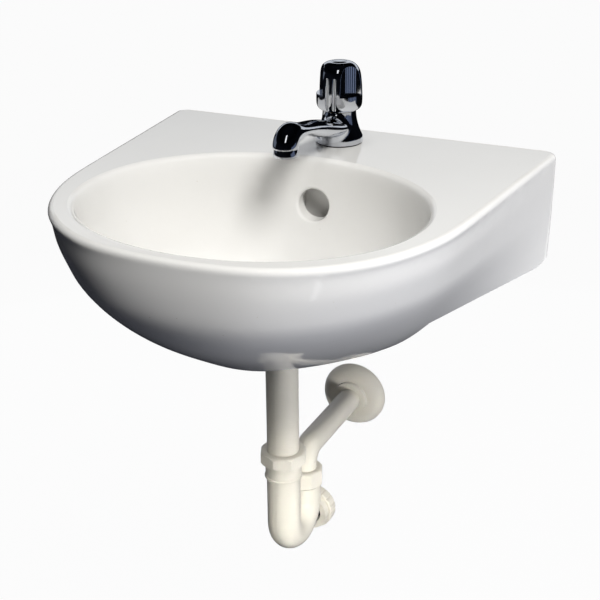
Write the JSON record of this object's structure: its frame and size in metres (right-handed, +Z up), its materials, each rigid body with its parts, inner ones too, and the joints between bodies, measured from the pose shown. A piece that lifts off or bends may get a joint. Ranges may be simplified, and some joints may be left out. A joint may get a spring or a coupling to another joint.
{
  "type": "wall-hung washbasin with pillar tap and trap",
  "caption": "Small D-shaped wall-hung china washbasin with an oval bowl, overflow hole, chrome pillar tap with a lobed knob, slotted waste and a white tubular trap running to the wall.",
  "frame": {"origin": "on the wall face, midway between the two fixing holes", "axes": "+Y into the wall, +Z up, +X to the right seen from the room"},
  "size_m": [0.419, 0.428, 0.491],
  "materials": {
    "glazed_china": "white fired glaze, high gloss",
    "chrome_plate": "bright chrome plate on brass",
    "bare_brass": "turned, bare",
    "screw_steel": "plain",
    "trap_plastic": "moulded, satin gloss, off-white",
    "nut_plastic": "moulded, matt",
    "seal_rubber": "matt black",
    "insert_plastic": "moulded, pale grey"
  },
  "bodies": {
    "basin": {"basin_body": "glazed_china", "tap_body": "chrome_plate", "tap_gasket": "seal_rubber", "tap_washer": "nut_plastic", "tap_backnut": "bare_brass", "tap_bonnet": "bare_brass", "aerator_ring": "chrome_plate", "aerator_insert": "insert_plastic", "aerator_seal": "seal_rubber", "waste_body": "chrome_plate", "waste_seal": "seal_rubber", "waste_washer": "seal_rubber", "waste_backnut": "nut_plastic", "tail_nut": "trap_plastic", "tail_seal": "seal_rubber", "tailpiece": "trap_plastic", "trap_body": "trap_plastic", "inlet_nut": "trap_plastic", "inlet_seal": "seal_rubber", "outlet_nut": "trap_plastic", "outlet_seal": "seal_rubber", "outlet_pipe": "trap_plastic", "cleanout_cap": "trap_plastic", "cleanout_seal": "seal_rubber"},
    "handle": {"tap_handle": "chrome_plate", "tap_spindle": "bare_brass", "spindle_o_ring": "seal_rubber", "handle_screw": "screw_steel", "handle_cap": "chrome_plate"},
    "plunger": {"valve_plunger": "bare_brass", "valve_washer": "seal_rubber"},
    "rose": {"wall_rose": "trap_plastic"}
  },
  "joints": [
    {"name": "handle_turn", "type": "hinge", "parent": "basin", "child": "handle", "pos_m": [0, -0.048, 0.1], "axis": [0, 0, 1], "range_deg": [0, 540]},
    {"name": "valve_lift", "type": "slide", "parent": "basin", "child": "plunger", "axis": [0, 0, 1], "range_m": [0, 0.0045]},
    {"name": "rose_slide", "type": "slide", "parent": "basin", "child": "rose", "axis": [0, -1, 0], "range_m": [0, 0.08]}
  ],
  "couplings": [
    {"joint": "valve_lift", "follows": "handle_turn", "m_per_rad": 0.000477}
  ]
}
